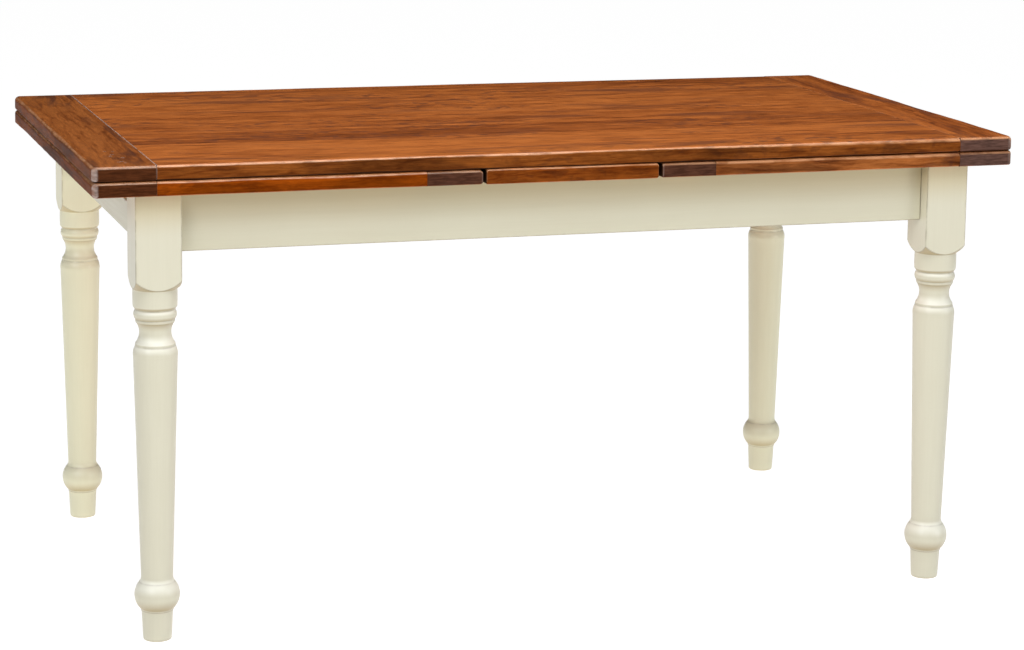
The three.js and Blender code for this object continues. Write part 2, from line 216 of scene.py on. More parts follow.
def wave(place, seed):
    """How far a hand-worked edge is planed back, at a place along it."""
    long = ripple(WAVE["long_rate"], place, seed)
    short = ripple(WAVE["short_rate"], place, seed + 40)
    return WAVE["long"] * long + WAVE["short"] * short


def inset(depth, radius):
    """How far a rounded corner of a radius is set back, at a depth in from its end."""
    if depth >= radius:
        return 0.0
    return radius - math.sqrt(radius * radius - (radius - depth) ** 2)


# ---- Boards ----


def spread(start, end, spacing, guard=1.2 * MM):
    """Places from start to end, evenly spaced, with one more close to each end."""
    steps = max(2, round(abs(end - start) / spacing))
    way = math.copysign(guard, end - start)
    inner = [start + (end - start) * i / steps for i in range(1, steps)]
    return [start, start + way, *inner, end - way, end]


def stations(low, high, start_radius, end_radius):
    """Places along a board where its section is drawn, closer together where an end is rounded."""
    steps = [1 - math.cos(math.radians(90 * i / ARC_STEPS)) for i in range(ARC_STEPS)]
    starts = [low + start_radius * step for step in steps]
    ends = [high - end_radius * step for step in reversed(steps)]
    return starts + spread(low + start_radius, high - end_radius, STATION) + ends


def section(near, far, bottom, top, radii, steps):
    """A rectangle with rounded corners, anticlockwise from the bottom near corner. The radii are those
    of the corners in that order, and the steps are how many parts each flat side has."""
    corners = [(near, bottom, 180), (far, bottom, 270), (far, top, 0), (near, top, 90)]
    inward = [(1, 1), (-1, 1), (-1, -1), (1, -1)]
    points = []
    arcs = []
    for (u, v, start), (du, dv), radius in zip(corners, inward, radii):
        centre = (u + du * radius, v + dv * radius)
        angles = [math.radians(start + 90 * i / ARC_STEPS) for i in range(ARC_STEPS + 1)]
        arcs.append([(centre[0] + radius * math.cos(a), centre[1] + radius * math.sin(a)) for a in angles])
    for i, arc in enumerate(arcs):
        points += arc
        (u0, v0), (u1, v1) = arc[-1], arcs[(i + 1) % 4][0]
        fractions = [0.04, *[n / steps[i] for n in range(1, steps[i])], 0.96]
        points += [(u0 + (u1 - u0) * f, v0 + (v1 - v0) * f) for f in fractions]
    return points


def shrunk(ring, share):
    """A ring's points drawn in towards its middle, so that a board's flat end keeps a flat shade."""
    u = (max(p[0] for p in ring) + min(p[0] for p in ring)) / 2
    v = (max(p[1] for p in ring) + min(p[1] for p in ring)) / 2
    return [(u + (p[0] - u) * share, v + (p[1] - v) * share) for p in ring]


def worked(point, low, high, seed):
    """Moves a board's point inwards, as a plane and sandpaper work its edges and faces."""
    x, y, z = point
    reach = WAVE["reach"]
    dx = fade(x - low.x, reach) * wave(y, seed) - fade(high.x - x, reach) * wave(y, seed + 1)
    dy = fade(y - low.y, reach) * wave(x, seed + 2) - fade(high.y - y, reach) * wave(x, seed + 3)
    middle = (low.z + high.z) / 2
    share = max(0.0, (z - middle) / (high.z - middle))
    dip = 0.5 + 0.5 * noise.noise(Vector((x * 5, y * 7, seed)))
    return (x + dx, y + dy, z - SURFACE_DIP * dip * share)


def edge_softness(place, along, seed):
    """What share of its usual radius a rounded edge has, at a place along a board."""
    softness = SOFTNESS["least"]
    for number, (share, rate) in enumerate(SOFTNESS["ripples"]):
        softness += share * ripple(rate, place, seed + 11 + number)
    if along == 0:
        softness += ROUNDER["gain"] * fade(CAD_BOUNDS[1][0] - place, ROUNDER["reach"])
        softness = min(softness, ROUNDER["most"])
    return softness


def board(name, low, high, whole, along, rounded, arris, plan_radius, seed):
    """A board between two corners, lofted along X (0) or Y (1). The four flags in rounded say which of
    its plan sides are free edges: at its start, its end, its near side and its far side. The others are
    seams. The plan radius is that of its free corners, and the whole is the box of the panel or top that
    it belongs to."""
    across = 1 - along
    edge = [plan_radius if flag else EDGE["seam"] for flag in rounded]
    top_edge = [arris if flag else EDGE["seam"] for flag in rounded]
    under_edge = [EDGE["underside"] if flag else EDGE["seam"] for flag in rounded]
    across_steps = max(2, round((high[across] - low[across]) / COLUMN))
    steps = [across_steps, round((high.z - low.z) / ROW)] * 2
    vertices = []
    places = stations(low[along], high[along], edge[0], edge[1])
    last = len(places) - 1
    for number, place in enumerate(places):
        depths = (place - low[along], high[along] - place)
        plan = [max(inset(depth, edge[i]) for i, depth in enumerate(depths)) if rounded[2 + side] else 0
                for side in (0, 1)]
        down = max(inset(depth, top_edge[i]) for i, depth in enumerate(depths))
        up = max(inset(depth, under_edge[i]) for i, depth in enumerate(depths))
        softness = edge_softness(place, along, seed)
        radii = []
        for side, level, taken in (
            (0, under_edge, up), (1, under_edge, up), (1, top_edge, down), (0, top_edge, down)
        ):
            radius = level[2 + side] * (softness if rounded[2 + side] else 1)
            radii.append(radius * max(0.04, 1 - taken / max(level[:2])))
        ring = section(
            low[across] + plan[0], high[across] - plan[1], low.z + up, high.z - down, radii, steps
        )
        rings = [ring]
        if number == 0:
            rings = [shrunk(ring, CAP_RINGS[1]), shrunk(ring, CAP_RINGS[0]), ring]
        if number == last:
            rings = [ring, shrunk(ring, CAP_RINGS[0]), shrunk(ring, CAP_RINGS[1])]
        for u, v in (point for ring in rings for point in ring):
            point = (place, u, v) if along == 0 else (u, place, v)
            vertices.append(worked(point, whole[0], whole[1], seed))
    count = len(ring)
    faces = ring_faces(len(vertices) // count, count)
    if along == 1:
        faces = [tuple(reversed(face)) for face in faces]
    return mesh_object(name, vertices, faces)


def panel_limits(panel, *crosses):
    """A panel's corners between its cross boards, without the tongues inside them."""
    low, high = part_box(panel)
    for cross in crosses:
        cross_low, cross_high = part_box(cross)
        if cross_low.x > low.x:
            high.x = cross_low.x - PANEL_GAP
        else:
            low.x = cross_high.x + PANEL_GAP
    return low, high


def joined(*boxes):
    low = Vector(min(box[0][i] for box in boxes) for i in range(3))
    high = Vector(max(box[1][i] for box in boxes) for i in range(3))
    return low, high


def make_clamped_board(panel, crosses, materials, edge, seed):
    """A panel and the cross boards at its ends, as (node, sign of the free end) pairs."""
    limits = panel_limits(panel, *[node for node, _ in crosses])
    boxes = {node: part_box(node) for node, _ in crosses}
    for node, sign in crosses:
        outer = boxes[node][1 if sign > 0 else 0]
        if abs(outer.x) < CAD_BOUNDS[1][0] - 1 * MM:
            outer.x += sign * INNER_SWELL
            continue
        outer.x += sign * END_SWELL[sign]
        if sign > 0:
            boxes[node][0].x += SEAM_SHIFT
            limits[1].x += SEAM_SHIFT
    whole = joined(limits, *boxes.values())
    piece = board(f"{panel}_board", *limits, whole, 0, (False, False, True, True), edge["panel"], 0, seed)
    show(piece, panel, materials[panel])
    for node, sign in crosses:
        free = (sign < 0, sign > 0)
        low, high = boxes[node]
        corner = EDGE["plan"] if abs(low.x + high.x) > CAD_BOUNDS[1][0] else EDGE["inner"]
        piece = board(
            f"{node}_board", low, high, whole, 1, (True, True, *free), edge["breadboard"], corner, seed
        )
        show(piece, node, materials[node])


# ---- Legs ----


def arc_between(start, end, bulge, step):
    """Points from start up to end, not counting end, along a curve that stands proud by the bulge."""
    (r0, z0), (r1, z1) = start, end
    chord = math.hypot(r1 - r0, z1 - z0)
    if bulge == 0:
        count = max(1, round(chord / (step * 6)))
        return [(r0 + (r1 - r0) * i / count, z0 + (z1 - z0) * i / count) for i in range(count)]
    half = 2 * math.atan(2 * abs(bulge) / chord)
    count = max(4, round(chord / step))
    points = []
    for i in range(count):
        angle = half * (2 * i / count - 1)
        along = 0.5 + math.sin(angle) / math.sin(half) / 2
        proud = math.copysign((math.cos(angle) - math.cos(half)) / math.sin(half) / 2, bulge)
        radius = r0 + (r1 - r0) * along + (z1 - z0) * proud
        height = z0 + (z1 - z0) * along - (r1 - r0) * proud
        points.append((radius, height))
    return points


def soften(points, passes=2):
    """Cuts the corners of a profile, as paint rounds them."""
    for _ in range(passes):
        cut = [points[0]]
        for (r0, z0), (r1, z1) in zip(points, points[1:]):
            if z1 - z0 > 0.02:
                cut.append((r0 * 0.75 + r1 * 0.25, z0 * 0.75 + z1 * 0.25))
                cut.append((r0 * 0.25 + r1 * 0.75, z0 * 0.25 + z1 * 0.75))
        cut.append(points[-1])
        points = cut
    return points


def leg_levels():
    """The turned profile in fine steps, and on up the square block."""
    points = []
    for (r0, z0, bulge), (r1, z1, _) in zip(LEG_PROFILE, LEG_PROFILE[1:]):
        points += arc_between((r0, z0), (r1, z1), bulge, 2.2)
    turned = soften([*points, LEG_PROFILE[-1][:2]], 1)
    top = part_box("leg_front_left")[1].z / MM
    step = LEG_CHAMFER["bottom"]
    square = [620, 640, step - 0.2, step + 0.2, 700, 730, top - 1.2, top]
    return turned + [(LEG_PROFILE[-1][0], z) for z in square]


def leg_angles():
    """Angles round a leg in degrees, closer together at the block's corners."""
    near = [0.5, 1.1, 1.9, 3.0, 5.0]
    wide = [8 + 4.1 * i for i in range(10)]
    quarter = sorted([0.0, *near, *wide, *[-a for a in near + wide[:-1]]])
    return [45 + 90 * q + a for q in range(4) for a in quarter]


def block_distance(angle, half):
    """From a square block's axis to its face, at an angle, with rounded corners."""
    turn = abs((angle + 45) % 90 - 45)
    t = math.radians(turn)
    if half * math.tan(t) <= half - LEG_ARRIS:
        return half / math.cos(t)
    centre = half - LEG_ARRIS
    b = centre * (math.cos(t) + math.sin(t))
    return b + math.sqrt(b * b - 2 * centre * centre + LEG_ARRIS * LEG_ARRIS)


def soft_least(a, b, width=0.7):
    """The lesser of two lengths, eased where they are nearly the same."""
    h = max(width - abs(a - b), 0) / width
    return min(a, b) - h * h * width / 4


def glaze_near(kind, distance):
    """How much glaze there is at a distance from the middle of its line."""
    strength, spread = GLAZE_AT[kind]
    return strength * math.exp(-((distance / spread) ** 2))


def make_leg(face, side, material):
    node = f"leg_{face}_{side}"
    low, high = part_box(node)
    centre = (low + high) / 2
    half = (high.x - low.x) / 2 / MM
    inner = math.degrees(math.atan2(-FACES[face], -SIDES[side]))
    levels = leg_levels()
    angles = leg_angles()
    vertices = []
    glaze = []
    for radius, z in levels:
        for angle in angles:
            square = block_distance(angle, half)
            distance = radius if z < BLOCK_FROM - 1 else soft_least(radius, square)
            facing = math.cos(math.radians(angle - inner))
            if z > LEG_CHAMFER["bottom"] and facing > 0:
                distance = min(distance, LEG_CHAMFER["sum"] / math.sqrt(2) / facing)
            t = math.radians(angle)
            vertices.append(
                (centre.x + distance * MM * math.cos(t), centre.y + distance * MM * math.sin(t), z * MM)
            )
            shares = [share * glaze_near("groove", z - at) for at, share in GROOVES.items()]
            if z > BLOCK_EDGE_FROM:
                shares.append(glaze_near("corner", abs((angle + 45) % 90 - 45) - 45))
            if z > BLOCK_FROM:
                shares.append(glaze_near("arch", radius - square))
            glaze.append(max(shares))
    piece = mesh_object(f"{node}_turned", vertices, ring_faces(len(levels), len(angles)), 50)
    piece.data.attributes.new("glaze", "FLOAT", "POINT").data.foreach_set("value", glaze)
    return show(piece, node, material)


# ---- Bevelled copies of CAD solids ----


def make_bevelled(node, finish, material, width):
    """A copy of a CAD solid with its flat faces made whole and its edges eased, named after its finish."""
    name = f"{node}_{finish}"
    solid = bmesh.new()
    solid.from_mesh(frame["nodes"][node].data)
    bmesh.ops.remove_doubles(solid, verts=solid.verts, dist=0.01 * MM)
    bmesh.ops.dissolve_limit(solid, angle_limit=math.radians(1), verts=solid.verts, edges=solid.edges)
    sharp = [e for e in solid.edges if e.is_manifold and e.calc_face_angle() > math.radians(50)]
    bmesh.ops.bevel(
        solid, geom=sharp, offset=width, segments=2, profile=0.5, affect="EDGES", clamp_overlap=True
    )
    bmesh.ops.recalc_face_normals(solid, faces=solid.faces)
    mesh = bpy.data.meshes.new(name)
    solid.to_mesh(mesh)
    solid.free()
    # Only the small faces that the bevel made are shaded smooth.
    big = width * width * 12
    for polygon in mesh.polygons:
        polygon.use_smooth = polygon.area < big
    piece = bpy.data.objects.new(name, mesh)
    bpy.context.scene.collection.objects.link(piece)
    return show(piece, node, material)


# ---- Shader helpers ----


class Shader:
    """Short calls that add nodes to one material."""

    def __init__(self, name, **fixed):
        self.material = bpy.data.materials.new(name)
        self.material.use_nodes = True
        self.tree = self.material.node_tree
        self.tree.nodes.clear()
        inputs = {key.replace("_", " "): value for key, value in fixed.items()}
        self.bsdf = self.add("ShaderNodeBsdfPrincipled", inputs)
        output = self.add("ShaderNodeOutputMaterial")
        self.tree.links.new(self.bsdf.outputs["BSDF"], output.inputs["Surface"])
        self.place = self.add("ShaderNodeTexCoord").outputs["Object"]

    def add(self, kind, inputs=None, **settings):
        node = self.tree.nodes.new(kind)
        for key, value in settings.items():
            setattr(node, key, value)
        for socket, value in (inputs or {}).items():
            self.feed(node.inputs[socket], value)
        return node

    def feed(self, socket, value):
        if isinstance(value, bpy.types.NodeSocket):
            self.tree.links.new(value, socket)
        elif socket.type == "RGBA" and len(value) == 3:
            socket.default_value = (*value, 1)
        else:
            socket.default_value = value

    def math(self, operation, a, b=0.0, c=0.0):
        return self.add("ShaderNodeMath", {0: a, 1: b, 2: c}, operation=operation).outputs[0]

    def vector(self, operation, a, b=(0, 0, 0)):
        node = self.add("ShaderNodeVectorMath", {0: a, 1: b}, operation=operation)
        return node.outputs["Value" if operation in ("LENGTH", "DISTANCE") else "Vector"]

    def split(self, vector):
        return self.add("ShaderNodeSeparateXYZ", {0: vector}).outputs

    def join(self, x, y, z):
        return self.add("ShaderNodeCombineXYZ", {0: x, 1: y, 2: z}).outputs[0]

    def noise(self, vector, rates, detail=2.0, roughness=0.5, distortion=0.0):
        """Noise from 0 to 1 that repeats at so many times a metre along each axis."""
        scaled = self.vector("MULTIPLY", vector, rates)
        shape = {"Detail": detail, "Roughness": roughness, "Distortion": distortion}
        return self.add("ShaderNodeTexNoise", {"Vector": scaled, "Scale": 1.0, **shape}).outputs["Fac"]

    def fit(self, value, low, high, to_low=0.0, to_high=1.0):
        """Maps a value smoothly between two limits onto another pair, and holds it there past them."""
        inputs = {"Value": value, "From Min": low, "From Max": high, "To Min": to_low, "To Max": to_high}
        return self.add("ShaderNodeMapRange", inputs, interpolation_type="SMOOTHSTEP").outputs[0]

    def mix(self, factor, a, b, blend="MIX"):
        node = self.add("ShaderNodeMix", data_type="RGBA", blend_type=blend)
        for index, value in ((0, factor), (6, a), (7, b)):
            self.feed(node.inputs[index], value)
        return node.outputs[2]

    def ramp(self, value, stops):
        node = self.add("ShaderNodeValToRGB", {0: value})
        elements = node.color_ramp.elements
        while len(elements) < len(stops):
            elements.new(0.5)
        for element, (position, colour) in zip(elements, stops):
            element.position = position
            element.color = (*colour, 1)
        return node.outputs[0]

    def attribute(self, name):
        return self.add("ShaderNodeAttribute", attribute_name=name).outputs["Fac"]

    def finish(self, colour, roughness, height, depth):
        """Sets the surface's colour and roughness, and a bump of a depth in metres."""
        self.feed(self.bsdf.inputs["Base Color"], colour)
        self.feed(self.bsdf.inputs["Roughness"], roughness)
        bump = self.add("ShaderNodeBump", {"Height": height, "Strength": 1.0, "Distance": depth})
        self.feed(self.bsdf.inputs["Normal"], bump.outputs[0])
        return self.material


# ---- Wood ----

TOP_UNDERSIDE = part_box("top_panel")[0].z

# Linear colours of the stain, from its dark streaks to its light ones.
STAIN = {"dark": (0.115, 0.030, 0.009), "mid": (0.36, 0.092, 0.018), "light": (0.62, 0.185, 0.040)}
STAIN_AT = {"dark": 0.38, "mid": 0.50, "light": 0.63}  # the tone at which each is reached
STREAK_SHARE = 0.62  # how much of the tone is streaks
PLANK = 0.118  # width of a panel's planks
WEAR_AND_HIGHLIGHT = 0.75  # how strongly the edges are worn and painted with a highlight
SMOKE = (0.135, 0.046, 0.026)
END_GRAIN = {
    "brown": (0.062, 0.019, 0.007),
    "purple": (0.092, 0.049, 0.038),
    "dusky": (0.067, 0.027, 0.016),
}
# The pale colour of the upper rounded edges, partly wear and partly a painted highlight.
WORN_AND_HIGHLIGHT = (0.80, 0.39, 0.19)
WAX = (0.50, 0.40, 0.36)
# The near-black colour painted into the gaps as shade.
GAP_SHADE_COLOUR = (0.012, 0.006, 0.003)
# How far the painted shade reaches above and below the gap under the top, and around the gaps by the centre
# board.
GAP_SHADE_REACH = {"above": 2.6 * MM, "below": 1.0 * MM, "beside": 8 * MM}


def tinted(colour, tint):
    return tuple(c * t for c, t in zip(colour, tint))


def ripples(s, length):
    """Slow changes along a board."""
    return s.noise(s.join(length, 0.0, 0.0), (7, 1, 1), 2)


def plank_place(s, length, breadth, z, seed):
    """Where a point lies in the wood, with each plank cut from another place, and each plank's tone."""
    shifted = s.math("ADD", breadth, 0.45 + 0.013 * seed)
    lane = s.math("FLOOR", s.math("DIVIDE", shifted, PLANK))
    number = s.math("ADD", lane, seed + 0.5)
    lane_tone = s.add("ShaderNodeTexWhiteNoise", {"W": number}, noise_dimensions="1D").outputs["Value"]
    solid = s.join(s.math("ADD", length, s.math("MULTIPLY", lane, 3.71)), breadth, z)
    return s.vector("ADD", solid, (seed * 5.3, seed * 2.9, seed * 1.3)), lane_tone


def knots(s, p):
    """How far a point belongs to a knot, and to a knot's dark core."""
    stretched = s.vector("MULTIPLY", p, (1.7, 5.0, 5.0))
    cells = s.add("ShaderNodeTexVoronoi", {"Vector": stretched, "Scale": 1.0, "Randomness": 1.0})
    chosen = s.math("GREATER_THAN", s.split(cells.outputs["Color"])[0], 0.72)
    knot = s.math("MULTIPLY", s.fit(cells.outputs["Distance"], 0.03, 0.40, 1.0, 0.0), chosen)
    core = s.math("MULTIPLY", s.fit(cells.outputs["Distance"], 0.02, 0.11, 1.0, 0.0), chosen)
    return knot, core


def grain(s, p, lane_tone, knot, tint, calm):
    """The stained grain's colour, its streaks and its fibres. Knots push the grain aside."""
    sway = s.math("MULTIPLY", s.noise(p, (3.2, 6, 6), 2), 0.035 * (1 - 0.6 * calm))
    bent = s.vector("ADD", p, s.join(0.0, sway, s.math("MULTIPLY", knot, 0.03)))
    figure = s.noise(bent, (1.6, 18, 18), 3, 0.55)
    rings = s.math("PINGPONG", s.math("MULTIPLY", figure, 9.0), 0.5)
    late_wood = s.fit(rings, 0.30, 0.5)
    streak = s.noise(bent, (13, 100, 100), 6, 0.77, 0.15)
    broad = s.noise(bent, (3.0, 34, 34), 3, 0.6)
    fibre = s.noise(bent, (30, 700, 700), 2, 0.6)
    lane_light = s.noise(p, (0.9, 9, 9), 1)

    calmed = STREAK_SHARE * 0.45 * calm
    tone = s.math("ADD", s.math("MULTIPLY", streak, STREAK_SHARE - calmed), 0.5 * calmed)
    for part, share in ((broad, 0.30), (late_wood, -0.07), (lane_light, 0.16), (lane_tone, 0.06)):
        tone = s.math("ADD", tone, s.math("MULTIPLY", part, share))
    colour = s.ramp(tone, [(at, tinted(STAIN[shade], tint)) for shade, at in STAIN_AT.items()])
    fine = s.fit(fibre, 0.35, 0.75, 0.78, 1.12)
    return s.mix(1.0, colour, s.join(fine, fine, fine), "MULTIPLY"), streak, fibre


def smoked(s, colour, p, core, upright, tint, calm):
    """Adds smoky patches, loose groups of dark flecks, and the knots' cores."""
    smoke = s.fit(s.noise(p, (3.4, 17, 17), 4, 0.62, 0.6), 0.52, 0.70, 0.0, 0.62 + 0.2 * calm)
    group = s.fit(s.noise(p, (3.0, 6, 6), 2), 0.46, 0.58)
    fleck = s.fit(s.noise(p, (34, 62, 62), 3, 0.6, 0.4), 0.50, 0.64, 0.0, 0.75)
    flecks = s.math("MULTIPLY", s.math("MULTIPLY", group, fleck), 1 - 0.8 * calm)
    smoke = s.math("MAXIMUM", smoke, flecks)
    smoke = s.math("MULTIPLY", smoke, s.fit(upright, 0, 1, 1.0, 0.5))
    colour = s.mix(smoke, colour, tinted(SMOKE, tint))
    heart = tinted(tinted(STAIN["dark"], tint), (0.6, 0.6, 0.6))
    return s.mix(s.math("MULTIPLY", core, 0.85), colour, heart)


def with_sides(s, colour, p, upright, side_shade_and_tone):
    """Darkens the upright faces by a tint that changes in patches, partly the wood's own tone and partly
    painted shade, as upright faces get less light.
    """
    patches = s.fit(s.noise(p, (5, 12, 24), 2, 0.5), 0.38, 0.6)
    side_colour = s.mix(patches, tinted(side_shade_and_tone, (0.55, 0.55, 0.6)), side_shade_and_tone)
    return s.mix(upright, colour, s.mix(1.0, colour, side_colour, "MULTIPLY"))


def with_ends(s, colour, normal, along, end_grain):
    """Darkens the ends of a board, which soak up more stain."""
    end = s.fit(normal[along], 0.6, 0.85)
    tone = s.fit(s.noise(s.place, (40, 40, 320), 3, 0.6), 0.3, 0.7, 0.66, 1.45)
    end_colour = s.mix(1.0, END_GRAIN[end_grain], s.join(tone, tone, tone), "MULTIPLY")
    return s.mix(s.math("MULTIPLY", end, 0.95), colour, end_colour)


def with_wear_and_highlight(s, colour, facing, normal, tint, grey_wear):
    """Adds a pale band along the upper rounded edges, partly wear and partly a painted highlight, and grey
    wear at the corners. Gives the edges back too.
    """
    greatest = s.math("MAXIMUM", s.math("MAXIMUM", normal[0], normal[1]), normal[2])
    arris = s.math("MULTIPLY", s.fit(greatest, 0.80, 0.97, 1.0, 0.0), s.fit(facing[2], -0.1, 0.25))
    rubbed = s.fit(s.noise(s.place, (30, 30, 60), 3, 0.6), 0.36, 0.60, 0.35, 1.0)
    # Partly wear, partly a painted highlight on the edges that face the light.
    worn_and_lit = s.math("MULTIPLY", arris, rubbed)
    colour = s.mix(s.math("MULTIPLY", worn_and_lit, WEAR_AND_HIGHLIGHT), colour, tinted(WORN_AND_HIGHLIGHT, tint))
    if grey_wear:
        plan = s.fit(s.math("MULTIPLY", normal[0], normal[1]), 0.10, 0.36)
        colour = s.mix(s.math("MULTIPLY", s.math("MULTIPLY", plan, rubbed), grey_wear), colour, WAX)
    return colour, arris


def with_wax_line(s, colour, x, place, width, upright):
    """Adds pale wax left in a seam across X."""
    from_seam = s.math("ABSOLUTE", s.math("SUBTRACT", x, place))
    broken = s.fit(s.noise(s.place, (8, 30, 30), 3), 0.3, 0.5)
    line = s.math("MULTIPLY", s.fit(from_seam, 0.3 * width, width, 1.0, 0.0), broken)
    line = s.math("MULTIPLY", line, s.fit(upright, 0, 1, 0.8, 0.2))
    return s.mix(line, colour, WAX)


def with_dent(s, colour, height, centre, size, tint):
    """Adds one dark dent with a waxy rim."""
    far = s.vector("DISTANCE", s.place, centre)
    dent = s.fit(far, 0.45 * size, size, 1.0, 0.0)
    rim = s.math("SUBTRACT", s.fit(far, size, 1.5 * size, 1.0, 0.0), dent)
    colour = s.mix(s.math("MULTIPLY", rim, 0.75), colour, WAX)
    colour = s.mix(dent, colour, tinted(tinted(STAIN["dark"], tint), (0.5, 0.5, 0.5)))
    return colour, s.math("SUBTRACT", height, s.math("MULTIPLY", dent, 2.0))


def painted_gap_shade(s, facing, normal, x, z, length, closed):
    """How much painted shade darkens the gap under the top and the faces beside the centre board."""
    from_gap = s.math("SUBTRACT", z, TOP_UNDERSIDE)
    uneven = s.fit(ripples(s, length), 0.3, 0.7, 0.55, 1.25)
    over = s.fit(s.math("DIVIDE", from_gap, uneven), 0.5 * GAP_SHADE_REACH["above"], GAP_SHADE_REACH["above"], 1.0, 0.0)
    under = s.fit(s.math("MULTIPLY", from_gap, -1.0), 0.4 * GAP_SHADE_REACH["below"], GAP_SHADE_REACH["below"], 1.0, 0.0)
    gap_shade = s.math("MULTIPLY", s.math("MULTIPLY", over, under), s.fit(facing[2], 0.5, 0.8, 1.0, 0.0))
    if closed:
        from_face = s.math("ABSOLUTE", s.math("SUBTRACT", s.math("ABSOLUTE", x), closed))
        inside = s.math("LESS_THAN", from_face, GAP_SHADE_REACH["beside"])
        gap_shade = s.math("MAXIMUM", gap_shade, s.math("MULTIPLY", inside, s.fit(normal[0], 0.5, 0.9)))
    return gap_shade


def stained(name, along, seed, tint=(1, 1, 1), side_shade_and_tone=(1, 1, 1), grey_wear=0.0, end_grain="brown",
            wax_at=(), marks=(), calm=0.0, closed=None):
    """Stained and waxed wood with its grain along X (0) or Y (1). A calm board has softer streaks. Faces
    across X at the closed distance from the middle are in the gap beside the centre board."""
    s = Shader(name, Coat_Roughness=0.2)
    x, y, z = s.split(s.place)[:3]
    length, breadth = (x, y) if along == 0 else (y, x)
    facing = s.split(s.add("ShaderNodeNewGeometry").outputs["Normal"])
    normal = [s.math("ABSOLUTE", axis) for axis in facing[:3]]
    upright = s.fit(normal[2], 0.55, 0.9, 1.0, 0.0)

    p, lane_tone = plank_place(s, length, breadth, z, seed)
    knot, core = knots(s, p)
    colour, streak, fibre = grain(s, p, lane_tone, knot, tint, calm)
    height = s.math("ADD", s.math("MULTIPLY", streak, 0.5), s.math("MULTIPLY", fibre, 0.5))
    colour = smoked(s, colour, p, core, upright, tint, calm)
    colour = with_sides(s, colour, p, upright, side_shade_and_tone)
    colour = with_ends(s, colour, normal, along, end_grain)
    colour, arris = with_wear_and_highlight(s, colour, facing, normal, tint, grey_wear)
    for place, width in wax_at:
        colour = with_wax_line(s, colour, x, place, width, upright)
    for centre, size in marks:
        colour, height = with_dent(s, colour, height, centre, size, tint)
    # Painted shade: the gap under the top and the faces beside the centre board are darkened nearly to
    # black.
    gap_shade = painted_gap_shade(s, facing, normal, x, z, length, closed)
    colour = s.mix(s.math("MULTIPLY", gap_shade, 0.92), colour, GAP_SHADE_COLOUR)

    # The edges are polished by hands, except at the table's ends.
    polish = s.math("MULTIPLY", arris, s.fit(gap_shade, 0, 0.5, 1.0, 0.0))
    s.feed(s.bsdf.inputs["Coat Weight"], s.math("MULTIPLY", polish, s.fit(normal[0], 0.2, 0.6, 1.0, 0.0)))
    s.feed(s.bsdf.inputs["Specular IOR Level"], s.fit(upright, 0, 1, 0.18, 0.008))
    return s.finish(colour, s.fit(streak, 0.3, 0.8, 0.36, 0.5), height, 0.35 * MM)


# Linear colours of the bare softwood, at tones from its early wood to its late wood.
SOFTWOOD = [(0.2, (0.66, 0.47, 0.27)), (0.5, (0.56, 0.37, 0.19)), (0.85, (0.40, 0.23, 0.10))]


def plain_wood(name, along, painted_from=None):
    """Bare planed softwood with its grain along X (0), Y (1) or Z (2), painted at both ends of the table
    from a distance on."""
    s = Shader(name, Specular_IOR_Level=0.3)
    rates = [2.5 if axis == along else 42 for axis in range(3)]
    fine_rates = [20 if axis == along else 700 for axis in range(3)]
    sway = s.noise(s.place, (4, 4, 4), 2)
    pushed = s.math("MULTIPLY", sway, 0.02)
    bent = s.vector("ADD", s.place, s.join(*[0.0 if axis == along else pushed for axis in range(3)]))
    figure = s.noise(bent, rates, 3)
    rings = s.math("PINGPONG", s.math("MULTIPLY", figure, 8), 0.5)
    fibre = s.noise(s.place, fine_rates, 2)
    tone = s.math("ADD", s.math("MULTIPLY", rings, 0.9), s.math("MULTIPLY", fibre, 0.5))
    colour = s.ramp(tone, SOFTWOOD)
    if painted_from:
        from_middle = s.math("ABSOLUTE", s.split(s.place)[0])
        brushed = s.mix(fibre, CREAM, CREAM_SHADE)
        colour = s.mix(s.math("GREATER_THAN", from_middle, painted_from), colour, brushed)
    return s.finish(colour, s.fit(fibre, 0.2, 0.8, 0.55, 0.8), fibre, 0.3 * MM)


# ---- Paint and metal ----

CREAM = (0.695, 0.665, 0.52)
CREAM_SHADE = (0.59, 0.55, 0.405)
# Painted highlight colours, mixed into the paint on upward-facing sides as if lit from above.
PAINTED_HIGHLIGHT = (0.95, 0.94, 0.82)
BACK_PAINTED_HIGHLIGHT = (1.0, 0.99, 0.76)  # on the back legs, which get less light
# Painted shade and light: the aprons get darker copies of the paint, as they stand in shade under the top,
# and the back legs a lighter copy, as they get less light.
SIDE_APRON_SHADE = (0.96, 0.96, 0.93)
END_APRON_SHADE = (0.90, 0.90, 0.86)
BACK_LEG_PAINTED_LIGHT = (1.24, 1.25, 1.15)
GLAZE = (0.16, 0.11, 0.06)
GLAZE_LINE = {"joint": 1.6 * MM, "edge": 1.4 * MM}  # widths of the glaze lines on the aprons
# Painted shade: warm tints that darken the down-facing sides and the paint close under the top, and how far
# down from the top that reaches.
PAINTED_SHADE_TINT = {"below": (0.62, 0.52, 0.38), "under_top": (0.87, 0.78, 0.60), "reach": 75 * MM}


